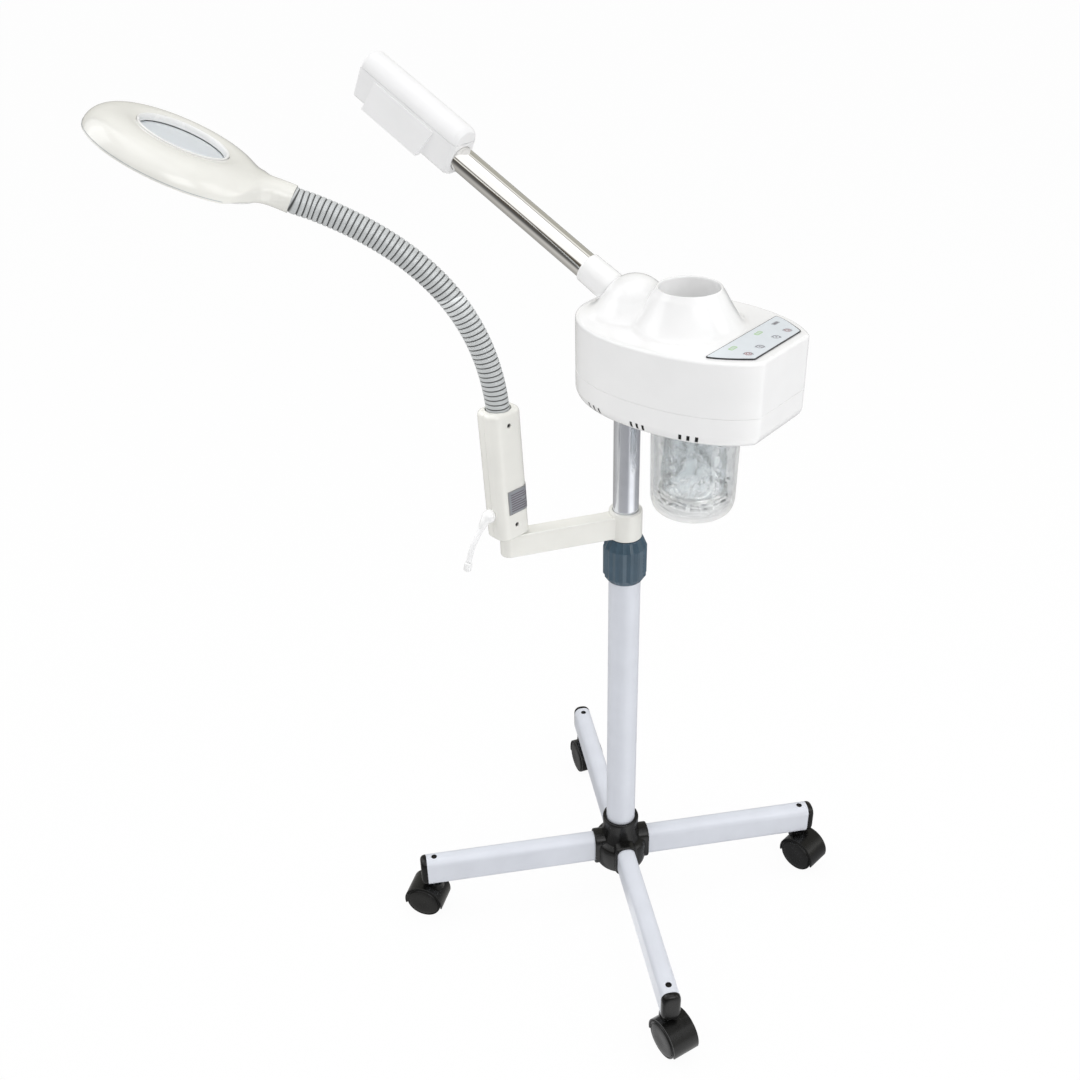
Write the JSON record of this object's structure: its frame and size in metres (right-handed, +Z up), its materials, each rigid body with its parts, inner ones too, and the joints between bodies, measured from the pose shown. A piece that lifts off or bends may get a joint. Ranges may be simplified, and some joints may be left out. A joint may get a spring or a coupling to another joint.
{
  "type": "facial steamer",
  "caption": "Wheeled stand with a steam unit: glass water jar, button panel, open neck and chrome spray arm; a round magnifying lamp on a gooseneck hangs from a swinging side arm.",
  "frame": {"origin": "centre of the whole footprint, on the floor under the wheels", "axes": "+Z up along the column, +X towards the control panel, spray arm towards -X"},
  "size_m": [0.5259, 0.5034, 0.8975],
  "materials": {
    "black_plastic": "satin black",
    "white_paint": "powder coat, cool white",
    "slate_plastic": "satin slate",
    "silver_paint": "metallic silver lacquer",
    "ivory_plastic": "glossy ivory",
    "gooseneck_metal": "ribbed, satin",
    "white_plastic": "glossy white",
    "chrome": "polished",
    "glass": "clear",
    "panel_film": "printed film, no text",
    "steel": "satin",
    "circuit_board": "coated board"
  },
  "bodies": {
    "stand": {"base_hub": "black_plastic", "front_right_leg": "white_paint", "front_left_leg": "white_paint", "rear_left_leg": "white_paint", "rear_right_leg": "white_paint", "front_right_leg_cap": "black_plastic", "front_left_leg_cap": "black_plastic", "rear_left_leg_cap": "black_plastic", "rear_right_leg_cap": "black_plastic", "lower_tube": "white_paint", "collet_bush": "black_plastic"},
    "mast": {"upper_tube": "silver_paint"},
    "clamp_collar": {"clamp_collar": "slate_plastic"},
    "steamer": {"top_cover": "white_plastic", "bottom_cover": "white_plastic", "control_panel": "panel_film", "chamber_cap": "white_plastic", "jar_ring": "white_plastic", "heating_element": "steel", "level_probe": "steel", "column_socket": "white_plastic", "circuit_board": "circuit_board", "power_inlet": "black_plastic", "spray_arm_collar": "white_plastic", "spray_collar_screw": "steel", "spray_tube": "chrome"},
    "jar": {"glass_jar": "glass"},
    "nozzle": {"nozzle_lower_shell": "white_plastic", "nozzle_upper_shell": "white_plastic", "nozzle_grille": "white_plastic"},
    "power_button": {"power_button": "white_plastic"},
    "steam_button": {"steam_button": "white_plastic"},
    "ozone_button": {"ozone_button": "white_plastic"},
    "timer_button": {"timer_button": "white_plastic"},
    "lamp_arm": {"lamp_arm": "ivory_plastic"},
    "lamp_handle": {"handle_front_shell": "ivory_plastic", "handle_back_shell": "ivory_plastic", "handle_pivot_pin": "steel", "lower_handle_screw": "steel", "upper_handle_screw": "steel", "rating_plate": "steel", "lead_boot": "white_plastic", "lamp_lead": "white_plastic", "lead_connector": "white_plastic", "gooseneck_lower": "gooseneck_metal"},
    "gooseneck": {"gooseneck_middle": "gooseneck_metal"},
    "lamp_head": {"gooseneck_upper": "gooseneck_metal", "lamp_head_top": "ivory_plastic", "lamp_head_bottom": "white_plastic", "light_ring_board": "circuit_board", "magnifier_lens": "glass", "lens_ring": "white_plastic"},
    "front_right_caster": {"front_right_caster_hood": "black_plastic"},
    "front_right_wheels": {"front_right_caster_wheels": "black_plastic"},
    "front_left_caster": {"front_left_caster_hood": "black_plastic"},
    "front_left_wheels": {"front_left_caster_wheels": "black_plastic"},
    "rear_left_caster": {"rear_left_caster_hood": "black_plastic"},
    "rear_left_wheels": {"rear_left_caster_wheels": "black_plastic"},
    "rear_right_caster": {"rear_right_caster_hood": "black_plastic"},
    "rear_right_wheels": {"rear_right_caster_wheels": "black_plastic"}
  },
  "joints": [
    {"name": "height_slide", "type": "slide", "parent": "stand", "child": "mast", "axis": [0, 0, 1], "range_m": [-0.02, 0.2]},
    {"name": "clamp_collar_turn", "type": "hinge", "parent": "stand", "child": "clamp_collar", "pos_m": [0.0642, 0.0725, 0.45], "axis": [0, 0, 1], "range_deg": [0, 90]},
    {"name": "steamer_swivel", "type": "hinge", "parent": "mast", "child": "steamer", "pos_m": [0.0642, 0.0725, 0.66], "axis": [0, 0, 1], "range_deg": [-60, 5]},
    {"name": "jar_turn", "type": "hinge", "parent": "steamer", "child": "jar", "pos_m": [0.1382, 0.0725, 0.645], "axis": [0, 0, 1], "range_deg": [0, 60]},
    {"name": "nozzle_twist", "type": "hinge", "parent": "steamer", "child": "nozzle", "pos_m": [0.0702, 0.0725, 0.7115], "axis": [-0.8894, 0, 0.4571], "range_deg": [-90, 90]},
    {"name": "power_button_press", "type": "slide", "parent": "steamer", "child": "power_button", "axis": [0, 0, -1], "range_m": [0, 0.001], "stiffness_N_per_m": 300},
    {"name": "steam_button_press", "type": "slide", "parent": "steamer", "child": "steam_button", "axis": [0, 0, -1], "range_m": [0, 0.001], "stiffness_N_per_m": 300},
    {"name": "ozone_button_press", "type": "slide", "parent": "steamer", "child": "ozone_button", "axis": [0, 0, -1], "range_m": [0, 0.001], "stiffness_N_per_m": 300},
    {"name": "timer_button_press", "type": "slide", "parent": "steamer", "child": "timer_button", "axis": [0, 0, -1], "range_m": [0, 0.001], "stiffness_N_per_m": 300},
    {"name": "lamp_arm_swing", "type": "hinge", "parent": "stand", "child": "lamp_arm", "pos_m": [0.0642, 0.0725, 0.492], "axis": [0, 0, 1], "range_deg": [-5, 60]},
    {"name": "lamp_handle_swivel", "type": "hinge", "parent": "lamp_arm", "child": "lamp_handle", "pos_m": [-0.00151, -0.02455, 0.504], "axis": [-0.0298, -0.0242, 0.9993], "range_deg": [-10, 45]},
    {"name": "gooseneck_lower_bend", "type": "hinge", "parent": "lamp_handle", "child": "gooseneck", "pos_m": [-0.02024, -0.03972, 0.70682], "axis": [0.6293, -0.7771, 0], "range_deg": [-30, 30]},
    {"name": "gooseneck_upper_bend", "type": "hinge", "parent": "gooseneck", "child": "lamp_head", "pos_m": [-0.06903, -0.07923, 0.78032], "axis": [0.6293, -0.7771, 0], "range_deg": [-30, 30]},
    {"name": "front_right_caster_swivel", "type": "hinge", "parent": "stand", "child": "front_right_caster", "pos_m": [0.22572, -0.0694, 0.044], "axis": [0, 0, 1], "continuous": true},
    {"name": "front_right_wheel_roll", "type": "hinge", "parent": "front_right_caster", "child": "front_right_wheels", "pos_m": [0.237, -0.0735, 0.02], "axis": [0.342, 0.9397, 0], "continuous": true},
    {"name": "front_left_caster_swivel", "type": "hinge", "parent": "stand", "child": "front_left_caster", "pos_m": [0.2061, 0.23402, 0.044], "axis": [0, 0, 1], "continuous": true},
    {"name": "front_left_wheel_roll", "type": "hinge", "parent": "front_left_caster", "child": "front_left_wheels", "pos_m": [0.21803, 0.23277, 0.02], "axis": [0.1045, 0.9945, 0], "continuous": true},
    {"name": "rear_left_caster_swivel", "type": "hinge", "parent": "stand", "child": "rear_left_caster", "pos_m": [-0.09732, 0.2144, 0.044], "axis": [0, 0, 1], "continuous": true},
    {"name": "rear_left_wheel_roll", "type": "hinge", "parent": "rear_left_caster", "child": "rear_left_wheels", "pos_m": [-0.08704, 0.20822, 0.02], "axis": [0.515, 0.8572, 0], "continuous": true},
    {"name": "rear_right_caster_swivel", "type": "hinge", "parent": "stand", "child": "rear_right_caster", "pos_m": [-0.0777, -0.08902, 0.044], "axis": [0, 0, 1], "continuous": true},
    {"name": "rear_right_wheel_roll", "type": "hinge", "parent": "rear_right_caster", "child": "rear_right_wheels", "pos_m": [-0.08875, -0.09371, 0.02], "axis": [0.3907, -0.9205, 0], "continuous": true}
  ]
}
